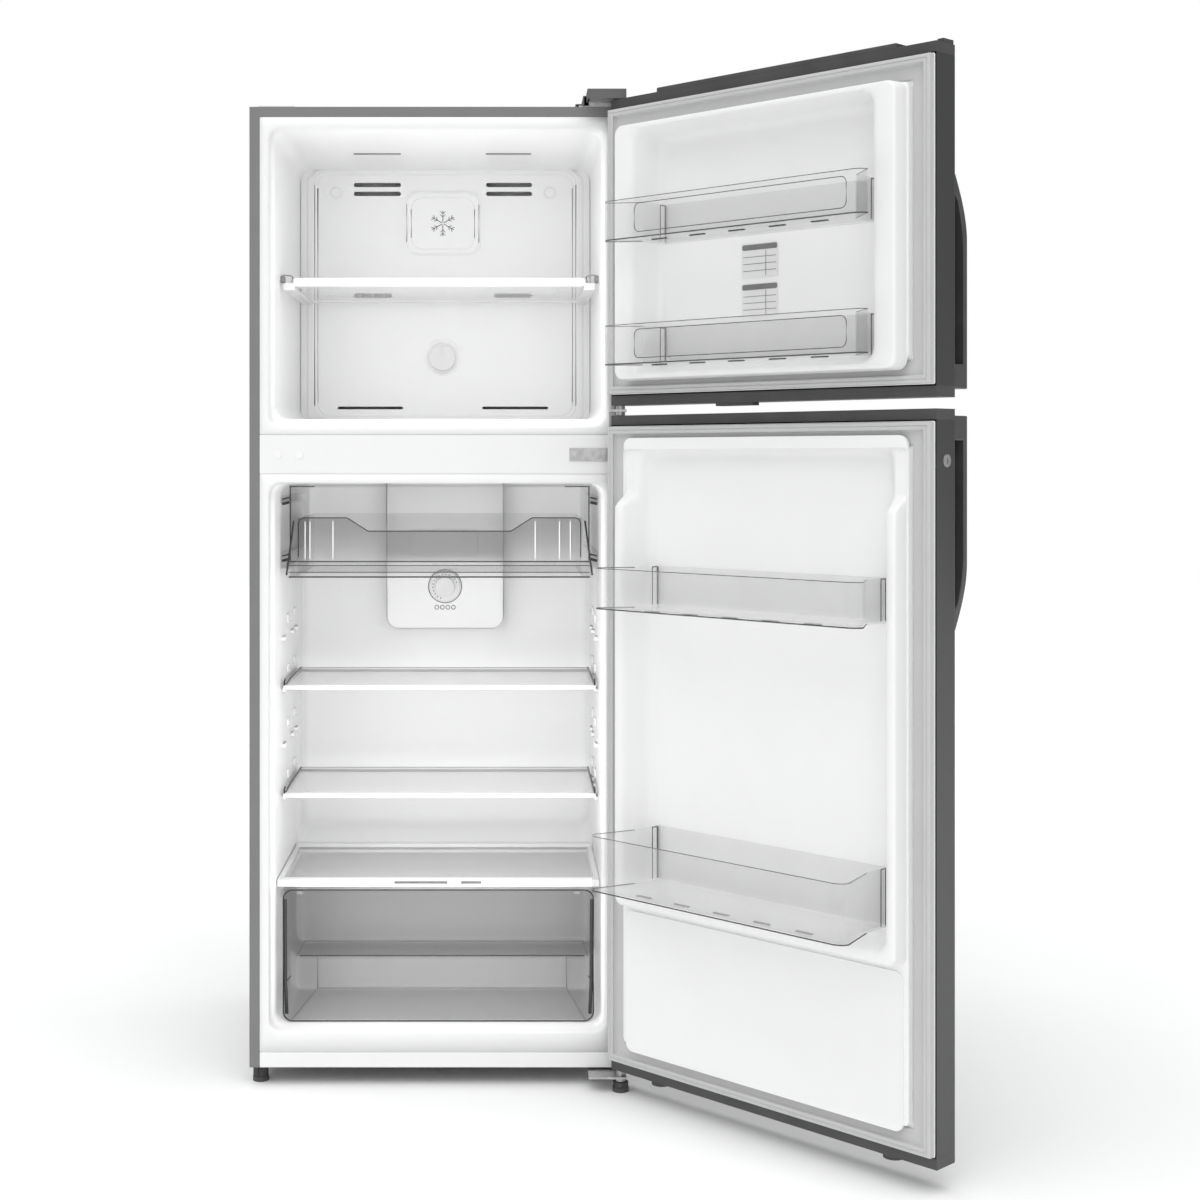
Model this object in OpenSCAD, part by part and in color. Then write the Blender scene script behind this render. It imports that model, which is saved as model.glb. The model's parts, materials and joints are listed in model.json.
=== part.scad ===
// Top freezer refrigerator, modelled with both doors swung open on their right-hand hinges.
// Working coordinates: X = 0 in the middle of the cabinet, Y = 0 on its front plane with +Y
// towards the back, Z = 0 on the floor. placed() then moves everything so that the origin is
// the bottom centre of the whole refrigerator as it stands here, doors open.

/* [Cabinet] */
// Width of the cabinet and of both doors
cab_w = 600; // [596:1:610]
// Depth of the cabinet without its doors
cab_d = 530; // [528:1:540]
// Height of the cabinet's underside above the floor
cab_low = 28; // [28:1:28]
// Height of the cabinet's top
cab_top = 1562; // [1560:1:1564]
// Thickness of the folded steel sheet
sheet = 1.2; // [0.8:0.1:1.4]
// Thickness of the plastic liners
skin = 2; // [1.6:0.1:2.2]
// Width of the steel rim round the front
rim_w = 16; // [14:1:18]

/* [Freezer compartment] */
// Lower edge of the opening
freezer_low = 1051; // [1050:1:1052]
// Upper edge of the opening
freezer_high = 1528; // [1524:1:1530]
// Depth of the compartment to the liner's back
freezer_d = 465; // [464:1:468]

/* [Fridge compartment] */
// Lower edge of the opening
fridge_low = 85; // [85:1:85]
// Upper edge of the opening
fridge_high = 962; // [960:1:963]
// Depth of the compartment to the liner's back
fridge_d = 455; // [454:1:458]

/* [Doors] */
// How far both doors stand open, from shut
door_open = 134; // [100:1:134]
// Thickness of a door without its gasket
door_t = 50; // [48:1:52]
// Gap between a shut door and the cabinet, filled by the gasket
seal_gap = 13; // [13:0.5:14]
// Gap between the two doors
door_gap = 16; // [16:1:16]
// Bottom of the lower door
door_low = 35; // [35:1:35]
// Middle of the gap between the doors
split_z = 1076; // [1076:1:1076]
// Top of the upper door
door_top = 1567; // [1566:1:1567]

/* [Fits] */
// Radius of the door hinge pins
pin_r = 4; // [3.5:0.5:4.5]
// Radial clearance of a pin or a shaft in its bore
fit = 0.05; // [0.03:0.01:0.08]
// Gap kept between pieces that move past each other
slip = 0.4; // [0.4:0.1:0.6]

/* [Hidden] */
$fn = 48;

half = cab_w / 2;
inner_half = 263;          // half width of both compartments behind their mouths
mouth_half = 269;          // half width of both mouths
mouth_d = 20;              // depth of the wider mouth
mullion_low = 976;
mullion_high = 1038;
joint_line = 0.4;          // gap between the front frame's pieces
plinth_top = 52;

door_back = -seal_gap;                     // inner face of a shut door
door_front = door_back - door_t;           // outer face of a shut door
pivot = [half - 9, door_back - 14];        // the hinge line of both doors, seen from above
upper_low = split_z + door_gap / 2;
lower_high = split_z - door_gap / 2;
cap_h = 15;                                // height of a door's end caps
door_edge_r = 5;
gasket_t = seal_gap - 2.2;
gasket_out = 3;            // from a door's edge to its gasket
gasket_tube = 11;          // width of the gasket's raised, magnetic outer part
gasket_w = 31;             // width of the whole gasket with its flat inner band
dyke_out = 36;             // from a door's edge to the foot of the raised ring inside it
dyke_in = 41.5;            // from a door's side edge to the ring's high part
dyke_foot = 10;            // height of the ring's foot, which clears the cabinet's front
dyke_h = 37;               // height of the ring where it reaches into a compartment
dyke_r = 10;
recess_floor = door_back - 15;
recess_r = 16;
handle_reach = 31;
handle_w = 28;

comp_y = 395;              // front wall of the compressor's space
comp_top = 262;            // ceiling of the compressor's space
evap_y = 400;              // front of the evaporator cover
duct_y = 397;              // front of the duct cover

// Door bins: [half width at the back, half width at the front, front face, height]
top_bin = [196, 241, 74, 61];
mid_bin = [212, 245, 90, 63];
low_bin = [212, 235, 109, 84];
bin_r = 18;
bin_wall = 2.4;
gland_out = 8;             // how far the cord gland stands out of the back

// The free corner of the open freezer handle is furthest right, a bin's corner furthest forward.
function turned(p) = let(d = p - pivot) pivot + [
    d[0] * cos(door_open) - d[1] * sin(door_open),
    d[0] * sin(door_open) + d[1] * cos(door_open)];
right_most = turned([-half + 2, door_front - handle_reach])[0];
front_most = turned([-low_bin[1] + bin_r, low_bin[2] - bin_r])[1] - bin_r;
origin_x = (right_most - half) / 2;
origin_y = (front_most + cab_d + gland_out) / 2;

// ---------- helpers ----------
module placed() translate([-origin_x, -origin_y, 0]) children();
module on_door() placed() translate([pivot[0], pivot[1], 0]) rotate([0, 0, door_open])
    translate([-pivot[0], -pivot[1], 0]) children();
module both_sides() {
    children();
    mirror([1, 0, 0]) children();
}
module block(lo, hi) translate(lo) cube(hi - lo);
// A shape drawn in X and Z, thick along Y
module along_y(y0, y1) translate([0, y1, 0]) rotate([90, 0, 0]) linear_extrude(y1 - y0) children();
// A shape drawn in Y and Z, long along X
module along_x(x0, x1) translate([x0, 0, 0]) rotate([90, 0, 90]) linear_extrude(x1 - x0) children();
module up(z0, z1) translate([0, 0, z0]) linear_extrude(z1 - z0) children();
module rod_x(x0, x1, y, z, r) translate([x0, y, z]) rotate([0, 90, 0]) cylinder(r = r, h = x1 - x0);
module rod_y(y0, y1, x, z, r) translate([x, y1, z]) rotate([90, 0, 0]) cylinder(r = r, h = y1 - y0);
module rod_z(z0, z1, p, r) translate([p[0], p[1], z0]) cylinder(r = r, h = z1 - z0);
module round_rect(x0, z0, x1, z1, r) {
    translate([x0 + r, z0]) square([x1 - x0 - 2 * r, z1 - z0]);
    translate([x0, z0 + r]) square([x1 - x0, z1 - z0 - 2 * r]);
    for (x = [x0 + r, x1 - r], z = [z0 + r, z1 - r]) translate([x, z]) circle(r);
}
module slot(x0, x1, z, h) round_rect(x0, z - h / 2, x1, z + h / 2, h / 2 - 0.01);
// Corner arc from one angle to another, as points
function arc(c, r, a0, a1, n = 6) = [for (i = [0:n]) let(a = a0 + (a1 - a0) * i / n)
    c + r * [cos(a), sin(a)]];

// ---------- cabinet ----------
module cabinet_shell() color("#787878") placed() difference() {
    block([-half, 0, cab_low], [half, cab_d, cab_top]);
    block([-half + sheet, sheet, cab_low - 1], [half - sheet, cab_d - sheet, cab_top - sheet]);
    block([-half + rim_w, -1, cab_low - 1], [half - rim_w, sheet + 1, cab_top - rim_w]);
    block([-half + 12, cab_d - sheet - 1, cab_low - 1], [half - 12, cab_d + 1, cab_top - 12]);
    for (p = top_screws) rod_z(cab_top - 4, cab_top + 1, p, screw_r + 0.3);
}

module back_panel() color("#8c8d8f") placed() difference() {
    block([-half + sheet + slip, cab_d - 2.4, comp_top + 4],
        [half - sheet - slip, cab_d - sheet, cab_top - 2]);
    for (x = [-180:60:180]) along_y(cab_d - 2, cab_d) slot(x - 4, x + 4, 900, 7);
}

module base_pan() color("#9a9b9d") placed() difference() {
    union() {
        along_x(-half + sheet + slip, half - sheet - slip) polygon([[14, cab_low], [cab_d - 3, cab_low],
            [cab_d - 3, cab_low + sheet], [comp_y + sheet, cab_low + sheet], [comp_y + sheet, comp_top],
            [cab_d - 3, comp_top], [cab_d - 3, comp_top + sheet], [comp_y, comp_top + sheet],
            [comp_y, cab_low + sheet], [14, cab_low + sheet]]);
        rod_z(cab_low, cab_low + 16, foot_left, 7);
        both_sides() {
            for (x = [roller_x - 10.5, roller_x + 10.5]) block([x - 1, 488, 5], [x + 1, 512, cab_low + 0.5]);
            rod_x(roller_x - 13, roller_x + 13, 500, roller_r, 3);
        }
    }
    rod_z(cab_low - 1, cab_low + 20, foot_left, 4 + fit);
}
roller_x = 250;
roller_r = 12.5;
foot_left = [-285, 27];
foot_r = 12.75;
screw_r = 2.4;
top_screws = [[250, 34], [250, 64], [280, 50]];

// The space each liner fills, grown by g: inside faces at g = 0, outside faces at g = skin
module freezer_room(g) {
    along_y(-g, mouth_d + g)
        round_rect(-mouth_half - g, freezer_low - g, mouth_half + g, freezer_high + g, 21 + g);
    along_y(mouth_d - 1, freezer_d + g)
        round_rect(-inner_half - g, freezer_low + 13 - g, inner_half + g, freezer_high + g, 21 + g);
}
module fridge_room(g) difference() {
    union() {
        along_y(-g, mouth_d + g)
            round_rect(-mouth_half - g, fridge_low - g, mouth_half + g, fridge_high + g, 21 + g);
        along_y(mouth_d - 1, fridge_d + g)
            round_rect(-inner_half - g, fridge_low - g, inner_half + g, fridge_high + g, 21 + g);
    }
    along_x(-half, half) polygon([[245 + g, 0], [245 + g, 140 - g], [345 + g, 140 - g],
        [345 + g, 316 - g], [fridge_d + 20, 334 - g], [fridge_d + 20, 0]]);
}

module cabinet_foam() color("#e8d9a0") placed() difference() {
    along_x(-half + sheet + 0.2, half - sheet - 0.2) polygon([[skin + 0.3, cab_low + sheet + 0.3],
        [comp_y - 0.3, cab_low + sheet + 0.3], [comp_y - 0.3, comp_top + sheet + 0.3],
        [cab_d - 2.6, comp_top + sheet + 0.3], [cab_d - 2.6, cab_top - sheet - 0.3],
        [skin + 0.3, cab_top - sheet - 0.3]]);
    freezer_room(skin + 0.3);
    fridge_room(skin + 0.3);
    rod_z(cab_low, cab_low + 22, foot_left, 9);
    block([-half, 0, cab_low], [half, 15, plinth_top + 0.4]);
}

module liner_flange(z0, z1) along_y(0, skin) translate([-half + rim_w + joint_line, z0])
    square([cab_w - 2 * rim_w - 2 * joint_line, z1 - z0]);

module freezer_liner() color("#f1f1f1") placed() {
    difference() {
        union() {
            liner_flange(mullion_high + joint_line, cab_top - rim_w - joint_line);
            intersection() {
                freezer_room(skin);
                block([-half, 0, 0], [half, cab_d, cab_top]);
            }
        }
        freezer_room(0);
        block([-half, -5, 0], [half, 0, cab_top]);
    }
    // rails that carry the shelf
    both_sides() block([248.5, 110, 1272], [inner_half + 0.5, 385, 1278]);
}

module fridge_liner() color("#f3f3f3") placed() {
    difference() {
        union() {
            liner_flange(plinth_top + joint_line, mullion_low - joint_line);
            intersection() {
                fridge_room(skin);
                block([-half, 0, 0], [half, cab_d, cab_top]);
            }
        }
        fridge_room(0);
        block([-half, -5, 0], [half, 0, cab_top]);
    }
    // ribs that carry the shelves, a row of three at every level
    both_sides() for (z = [shelf_z[0], shelf_z[1], shelf_z[0] + 86, shelf_z[0] - 92], y = [120, 215, 310])
        block([256, y, z - 16], [inner_half + 0.5, y + 52, z - 10]);
    // ledges that carry the crisper cover
    both_sides() block([254, 70, 300], [inner_half + 0.5, 330, 305.8]);
}
shelf_z = [628, 449.5];    // tops of the two fridge shelves

module mullion_cover() color("#ebebeb") placed() difference() {
    along_y(0, skin) translate([-half + rim_w + joint_line, mullion_low])
        square([cab_w - 2 * rim_w - 2 * joint_line, mullion_high - mullion_low]);
    both_sides() for (x = hinge_screw_x) rod_y(-1, skin + 1, x, hinge_z, screw_r + 0.3);
}
hinge_screw_x = [221, 255];
hinge_z = 1006.5;

module blanking_caps() color("#e9e9e9") placed() {
    for (x = hinge_screw_x) {
        rod_y(-1.4, 0, -x, hinge_z, 7);
        rod_y(-0.2, 1.8, -x, hinge_z, screw_r);
    }
    block([-287, 6, cab_top], [-230, 78, cab_top + 3]);
}

module plinth() color("#e6e6e6") placed() difference() {
    block([-half + rim_w + joint_line, 0, cab_low], [half - rim_w - joint_line, 13.6, plinth_top]);
    block([-half + rim_w + 3, skin, cab_low - 1], [half - rim_w - 3, 14, plinth_top - skin]);
}

// ---------- freezer compartment ----------
evap_half = 242;
evap_low = freezer_low + 15;
evap_high = freezer_high - 3;
fan_at = [-4, 1425];
dial_at = [-4.5, 1182];
module cover_blank(y0, grow) along_y(y0, freezer_d - 1)
    round_rect(-evap_half - grow, evap_low - grow, evap_half + grow, evap_high + grow, 26 + grow);
module evaporator_cover() color("#eeeeee") placed() {
    difference() {
        union() {
            cover_blank(evap_y, 0);
            along_y(evap_y - 3, evap_y + 1)
                round_rect(fan_at[0] - 68, fan_at[1] - 57, fan_at[0] + 68, fan_at[1] + 57, 22);
            rod_y(evap_y - 2, evap_y + 1, dial_at[0], dial_at[1], 31);
        }
        cover_blank(evap_y + skin, -skin);
        for (x = [[-165, -80], [74, 157]], z = [1495, 1479])
            along_y(evap_y - 5, evap_y + 5) slot(x[0], x[1], z, 8);
        for (x = [[-165, -96], [88, 157]]) along_y(evap_y - 5, evap_y + 5) slot(x[0], x[1], 1295, 8);
        for (x = [[-194, -76], [67, 186]]) along_y(evap_y - 5, evap_y + 5) slot(x[0], x[1], 1092, 5);
        rod_y(evap_y - 5, evap_y + 10, dial_at[0], dial_at[1], 5 + fit);
        for (x = [-197, 189]) rod_y(evap_y - 1, evap_y + 0.8, x, 1481, 9);
    }
    // ears that hold the air flap
    for (s = [-1, 1]) difference() {
        block([dial_at[0] + s * 40 - 2, evap_y + skin - 0.5, 1110], [dial_at[0] + s * 40 + 2, 440, 1130]);
        rod_x(dial_at[0] + s * 40 - 3, dial_at[0] + s * 40 + 3, 430, 1120, 2.5 + fit);
    }
}

module evaporator_coil() color("#b9bcc0") placed() {
    for (x = [-198:22:198]) block([x - 0.5, 408, 1190], [x + 0.5, 456, 1330]);
    for (k = [0:4]) rod_x(-208, 208, 432, 1204 + 28 * k, 4);
    for (k = [0:3]) translate([(k % 2 == 0 ? 1 : -1) * 208, 432, 1218 + 28 * k]) rotate([90, 0, 0])
        rotate([0, 0, k % 2 == 0 ? -90 : 90]) rotate_extrude(angle = 180) translate([14, 0]) circle(4);
}

module defrost_heater() color("#d8d8d6") placed() {
    rod_x(-160, 160, 432, 1166, 6);
    for (s = [-1, 1]) rod_x(s * 165 - 7, s * 165 + 7, 432, 1166, 9);
}

module fan_motor() color("#3b3d40") placed() {
    rod_y(436, 458, fan_at[0], fan_at[1], 24);
    rod_y(458, freezer_d - 1, fan_at[0], fan_at[1], 34);
    rod_y(416, 437, fan_at[0], fan_at[1], 2);
}

module fan_blade() color("#d9d9d9") placed() difference() {
    union() {
        rod_y(418, 434, fan_at[0], fan_at[1], 13);
        for (a = [0:72:288]) translate([fan_at[0], 426, fan_at[1]]) rotate([0, a, 0])
            rotate([0, 0, 28]) translate([0, 0, 11]) translate([-11, -0.8, 0]) cube([22, 1.6, 34]);
    }
    rod_y(410, 440, fan_at[0], fan_at[1], 2 + fit);
}

module freezer_dial() color("#f0f0f0") placed() {
    rod_y(evap_y - 12, evap_y - 2 - slip, dial_at[0], dial_at[1], 23);
    rod_y(evap_y - 3, evap_y + 18, dial_at[0], dial_at[1], 5);
    block([dial_at[0] - 2, evap_y - 13.2, dial_at[1] + 6], [dial_at[0] + 2, evap_y - 11, dial_at[1] + 20]);
}

module damper_flap() color("#d4d4d4") placed() {
    rod_x(dial_at[0] - 42, dial_at[0] + 42, 430, 1120, 2.5);
    block([dial_at[0] - 36, 429, 1094], [dial_at[0] + 36, 431, 1120]);
}

module freezer_shelf_glass() color("#dfe8ea") placed()
    block([-237, 108, 1286], [237, 386, 1290]);

module freezer_shelf_trim() color("#ededed") placed() {
    difference() {
        along_y(96, 112) round_rect(-240, 1284, 240, 1298, 5);
        block([-237.2, 107.8, 1285.8], [237.2, 113, 1290.2]);
    }
    block([-240, 382, 1281], [240, 392, 1285.8]);
    both_sides() {
        block([239, 94, 1278.2], [256, 392, 1284]);
        block([238, 96, 1278.2], [256, 112, 1289]);
    }
}

// ---------- fridge compartment ----------
duct_half = 106;
duct_low = 693;
thermo_at = [0, 770];
lens = [-62, 824, 60, 872];
module duct_blank(y0, grow) along_y(y0, fridge_d - 1) {
    round_rect(-duct_half - grow, duct_low - grow, duct_half + grow, fridge_high - 60, 20 + grow);
    translate([-duct_half - grow, duct_low + 60])
        square([2 * (duct_half + grow), fridge_high - duct_low - 61]);
}
module duct_cover() color("#f2f2f2") placed() difference() {
    duct_blank(duct_y, 0);
    difference() {
        duct_blank(duct_y + skin, -skin);
        block([-half, 0, fridge_high - 4], [half, cab_d, cab_top]);
    }
    rod_y(duct_y - 1, duct_y + 10, thermo_at[0], thermo_at[1], 5 + fit);
    along_y(duct_y - 1, duct_y + 5) round_rect(lens[0], lens[1], lens[2], lens[3], 8);
}

module lamp_lens() color("#fbfbf6") placed()
    along_y(duct_y - 1.5, duct_y + 3)
        round_rect(lens[0] + 0.3, lens[1] + 0.3, lens[2] - 0.3, lens[3] - 0.3, 8);

module thermostat_dial() color("#ededed") placed() {
    rod_y(duct_y - 8, duct_y - slip, thermo_at[0], thermo_at[1], 27);
    rod_y(duct_y - 16, duct_y - 7, thermo_at[0], thermo_at[1], 17);
    rod_y(duct_y - 1, duct_y + 20, thermo_at[0], thermo_at[1], 5);
}

hood_half = 247;
hood = [108, 392, 806, 956];         // front, back, bottom and top of the chiller's hood
module chiller_hood() color("#8f9194", 0.5) placed() {
    difference() {
        block([-hood_half, hood[0], hood[2]], [hood_half, hood[1], hood[3]]);
        block([-hood_half + 3, hood[0] - 1, hood[2] - 1], [hood_half - 3, hood[1] + 1, hood[3] - 3]);
    }
    both_sides() {
        block([234, hood[0], hood[2]], [hood_half - 1, hood[1], hood[2] + 3]);
        for (z = [[927, 939], [818, 846]])
            block([hood_half - 1, hood[0] + 2, z[0]], [inner_half, hood[1] - 20, z[1]]);
    }
}

// The chiller drawer hangs in the hood; its front wall dips in the middle
module chiller_drawer() color("#9b9da0", 0.5) placed() difference() {
    union() {
        block([-236, 104, 809.4], [236, 382, 902]);
        along_y(95, 106) round_rect(-252, 804, 252, 832, 4);
    }
    block([-233.4, 106, 812], [233.4, 379.4, 903]);
    along_y(90, 112) polygon([[-152, 904], [-118, 880], [118, 880], [152, 904]]);
}

module fridge_shelf_glasses() color("#dfe9ea", 0.5) placed()
    for (z = shelf_z) block([-256, 110, z - 8], [256, 366, z - 4]);

module fridge_shelf_trims() color("#e4e6e7") placed() for (z = shelf_z) {
    difference() {
        along_x(-258, 258) translate([103, z - 10]) square([12, 7.5]);
        block([-256.2, 109.8, z - 8.2], [256.2, 116, z - 3.8]);
    }
    difference() {
        along_x(-258, 258) translate([360, z - 10]) square([10, 8.5]);
        block([-256.2, 359, z - 8.2], [256.2, 366.2, z - 3.8]);
    }
    both_sides() block([256.4, 110, z - 10], [258, 366, z - 2.5]);
}

cover_top = 317;
module crisper_cover_frame() color("#e9eaeb") placed() difference() {
    union() {
        block([-261, 48, cover_top - 11], [261, 66, cover_top]);
        block([-261, 318, cover_top - 11], [261, 336, cover_top + 4]);
        both_sides() block([253, 48, cover_top - 11], [261, 336, cover_top]);
    }
    block([-253.2, 59.8, cover_top - 6.2], [253.2, 324.2, cover_top - 1.8]);
    along_y(40, 70) slot(-72, 70, cover_top - 4.6, 5);
}

module crisper_cover_glass() color("#dfe9ea", 0.5) placed()
    block([-253, 60, cover_top - 6], [253, 324, cover_top - 2]);

module humidity_slider() color("#d8d8d8") placed() {
    block([15, 45, cover_top - 6.5], [37, 48 - slip, cover_top + 3]);
    block([23, 47, cover_top - 6.4], [29, 56, cover_top - 2.8]);
}

drawer_low = 87;
drawer_high = 301;
// Side outline of the crisper drawer: a step at the back passes over the compressor's space
function drawer_side(g) = [[48 + g, drawer_low + g], [236 - g, drawer_low + g],
    [236 - g, 145 + g], [338 - g, 145 + g], [338 - g, drawer_high + 1], [48 + g, drawer_high + 1]];
module crisper_blank(g) intersection() {
    along_x(-half, half) polygon(drawer_side(g));
    along_y(40, 350) round_rect(-253 + g, drawer_low + g, 253 - g, drawer_high + 60, 14 - g);
}
module crisper_drawer() color("#a9aaad", 0.6) placed() difference() {
    union() {
        crisper_blank(0);
        block([-256, 48, drawer_high - 12], [256, 52, drawer_high]);
    }
    crisper_blank(2.6);
    block([-half, 0, drawer_high], [half, cab_d, cab_top]);
}

// ---------- compressor space ----------
comp_at = [110, 461];
comp_feet = [[-75, -44], [75, -44], [-75, 44], [75, 44]];
module compressor() color("#26282b") placed() translate([comp_at[0], comp_at[1], 0]) {
    difference() {
        translate([-88, -56, 44]) cube([176, 112, 3]);
        for (p = comp_feet) rod_z(40, 50, p, 6.2);
    }
    rod_z(46, 130, [0, 0], 57);
    rod_z(100, 105, [0, 0], 60);
    translate([0, 0, 130]) cylinder(r1 = 57, r2 = 44, h = 16);
    translate([0, 0, 146]) cylinder(r1 = 44, r2 = 18, h = 8);
    translate([-78, -26, 80]) cube([26, 52, 44]);
    rod_z(150, 176, [20, 0], 4);
}

module compressor_mounts() color("#2f2f2f") placed() for (p = comp_feet) difference() {
    union() {
        rod_z(cab_low + sheet, 44, comp_at + p, 12);
        rod_z(44, 50, comp_at + p, 6);
        rod_z(47.2, 52, comp_at + p, 10);
    }
    rod_z(cab_low, 60, comp_at + p, 3.2);
}

pan = [-262, 404, -40, 518];         // drain pan: left, front, right, back
module drain_pan() color("#4a4c4e") placed() {
    difference() {
        block([pan[0], pan[1], 44], [pan[2], pan[3], 96]);
        block([pan[0] + 2, pan[1] + 2, 46], [pan[2] - 2, pan[3] - 2, 97]);
    }
    for (x = [pan[0] + 12, pan[2] - 12], y = [pan[1] + 12, pan[3] - 12])
        block([x - 5, y - 5, cab_low + sheet], [x + 5, y + 5, 45]);
}

module condenser_loop() color("#b87333") placed() {
    rows = [430, 448, 466, 484, 502];
    for (y = rows) rod_x(-232, -70, y, 56, 3);
    for (k = [0:3]) translate([k % 2 == 0 ? -70 : -232, 439 + 18 * k, 56])
        rotate([0, 0, k % 2 == 0 ? -90 : 90]) rotate_extrude(angle = 180) translate([9, 0]) circle(3);
    rod_z(56, 170, [-232, 430], 3);
    translate([-232, 430, 170]) sphere(3);
    rod_x(-232, 40, 430, 170, 3);
}

module compressor_cover() color("#5d5f61") placed() difference() {
    block([-half + 3, cab_d - 3, cab_low + 4], [half - 3, cab_d - sheet - 0.3, comp_top - 2]);
    for (x = [-230:46:230], z = [110:24:230]) along_y(cab_d - 5, cab_d + 2) slot(x - 17, x + 17, z, 6);
    rod_y(cab_d - 6, cab_d + 2, gland_at[0], gland_at[1], 8.2);
}
gland_at = [-220, 64];

module cord_gland() color("#2b2b2b") placed() difference() {
    union() {
        rod_y(cab_d - 8, cab_d + gland_out - 5, gland_at[0], gland_at[1], 8);
        rod_y(cab_d - sheet - 0.2, cab_d + gland_out - 5, gland_at[0], gland_at[1], 12);
        rod_y(cab_d + gland_out - 5, cab_d + gland_out, gland_at[0], gland_at[1], 9);
    }
    rod_y(cab_d - 10, cab_d + gland_out + 1, gland_at[0], gland_at[1], 4);
}

// ---------- hinges and feet ----------
module top_hinge() color("#c3c6c9") placed() {
    difference() {
        block([226, 6, cab_top], [297, 78, cab_top + 3]);
        for (p = top_screws) rod_z(cab_top - 1, cab_top + 4, p, screw_r + 0.3);
    }
    block([242, 4, cab_top], [297, 8, door_top + 4.5]);
    block([242, -38, door_top + 1.5], [297, 8, door_top + 4.5]);
    rod_z(door_top - cap_h + 1, door_top + 2, pivot, pin_r);
}

module hinge_cover() color("#4a4b4d") placed() difference() {
    union() {
        block([233, 2, cab_top + 0.1], [299.5, 82, cab_top + 18]);
        block([238, -42, door_top + 0.6], [299.5, 3, cab_top + 21]);
        block([221, 8, cab_top + 0.1], [234, 82, cab_top + 6]);
    }
    block([235, -1, cab_top - 1], [297.6, 80, cab_top + 16]);
    block([240, -39.5, cab_top], [297.6, 1, cab_top + 19]);
    block([223, 4, cab_top - 1], [236, 80, cab_top + 4]);
}

module middle_hinge() color("#b9bcc0") placed() {
    difference() {
        union() {
            block([211, -1.5, hinge_z - 10.5], [298, 0, hinge_z + 10.5]);
            block([274, -1.5, hinge_z - 10.5], [298, 0, split_z + 2]);
            block([274, -38, split_z - 2], [300, 0, split_z + 2]);
        }
        for (x = hinge_screw_x) rod_y(-3, 1, x, hinge_z, screw_r + 0.3);
    }
    rod_z(lower_high - cap_h + 1, upper_low + cap_h - 1, pivot, pin_r);
    rod_z(lower_high + slip, upper_low - slip, pivot, 7);
}

module bottom_hinge() color("#a9acb0") placed() {
    difference() {
        union() {
            block([240, -40, 22], [300, 62, 25]);
            block([240, 16, 22], [298, 62, cab_low]);
            rod_z(16, 23, pivot, 8);
        }
        rod_z(10, 21.9, pivot, 3 + fit);
        for (y = [30, 50]) rod_z(20, 30, [265, y], screw_r + 0.3);
    }
    rod_z(24, door_low - slip, pivot, 7);
    rod_z(24, door_low + cap_h - 1, pivot, pin_r);
}

module hinge_screws() color("#8f9296") placed() {
    for (x = hinge_screw_x) {
        rod_y(-2.4, -1.5, x, hinge_z, 7);
        rod_y(-2, 1.8, x, hinge_z, screw_r);
    }
    for (p = top_screws) {
        rod_z(cab_top + 3, cab_top + 5, p, 6);
        rod_z(cab_top - 1.4, cab_top + 4, p, screw_r);
    }
    for (y = [30, 50]) {
        rod_z(20, 22, [265, y], 6);
        rod_z(21, cab_low - 0.1, [265, y], screw_r);
    }
}

module foot_pad(p, h) {
    rod_z(0, 7, p, foot_r);
    rod_z(7, h, p, foot_r - 1.4);
    for (a = [0:20:340]) translate([p[0], p[1], 7]) rotate([0, 0, a]) translate([foot_r - 2.4, -0.9, 0])
        cube([1.8, 1.8, h - 7]);
}
module front_left_foot() color("#555555") placed() {
    foot_pad(foot_left, 23);
    rod_z(22, cab_low + 15, foot_left, 4);
}
module front_right_foot() color("#555555") placed() {
    foot_pad(pivot, 15.4);
    rod_z(15, 21.5, pivot, 3);
}
module roller(x) difference() {
    rod_x(x - 8.5, x + 8.5, 500, roller_r, roller_r);
    rod_x(x - 10, x + 10, 500, roller_r, 3 + fit);
}
module rear_left_roller() color("#3a3a3a") placed() roller(-roller_x);
module rear_right_roller() color("#3a3a3a") placed() roller(roller_x);

// ---------- doors, drawn shut ----------
module door_outline(x, y0, y1, r)
    polygon(concat([[-x, y1]], arc([-x + r, y0 + r], r, 180, 270),
        arc([x - r, y0 + r], r, 270, 360), [[x, y1]]));
module door_panel(z0, z1) difference() {
    up(z0 + cap_h, z1 - cap_h) door_outline(half, door_front, door_back - skin - 0.2, door_edge_r);
    up(z0, z1) door_outline(half - 1, door_front + 1, door_back + 5, door_edge_r - 1);
}
module door_cap(z0, z1) up(z0, z1)
    door_outline(half, door_front, door_back - skin - 0.3, door_edge_r);
// The raised ring inside a door, grown by g: a low foot and a high part.
// reach is [bottom, top] of the high part, which enters the compartment when the door is shut.
module dyke(z0, z1, reach, g) {
    along_y(door_back - skin - 1, door_back + dyke_foot + g) round_rect(-half + dyke_out - g,
        z0 + dyke_out - g, half - dyke_out + g, z1 - dyke_out + g, dyke_r + g);
    along_y(door_back - skin - 1, door_back + dyke_h + g) round_rect(-half + dyke_in - g,
        reach[0] - g, half - dyke_in + g, reach[1] + g, dyke_r + g);
}
// Outline of the space inside the ring. recess is [half width, bottom, top]
module recess_outline(recess, g)
    round_rect(-recess[0] - g, recess[1] - g, recess[0] + g, recess[2] + g, recess_r + g);
module door_foam(z0, z1, reach, recess) difference() {
    union() {
        up(z0 + cap_h + 0.3, z1 - cap_h - 0.3)
            door_outline(half - 1.3, door_front + 1.3, door_back - skin - 0.3, door_edge_r - 1.3);
        dyke(z0, z1, reach, -skin - 0.3);
    }
    along_y(recess_floor - skin - 0.3, door_back + dyke_h) recess_outline(recess, skin + 0.3);
}
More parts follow.
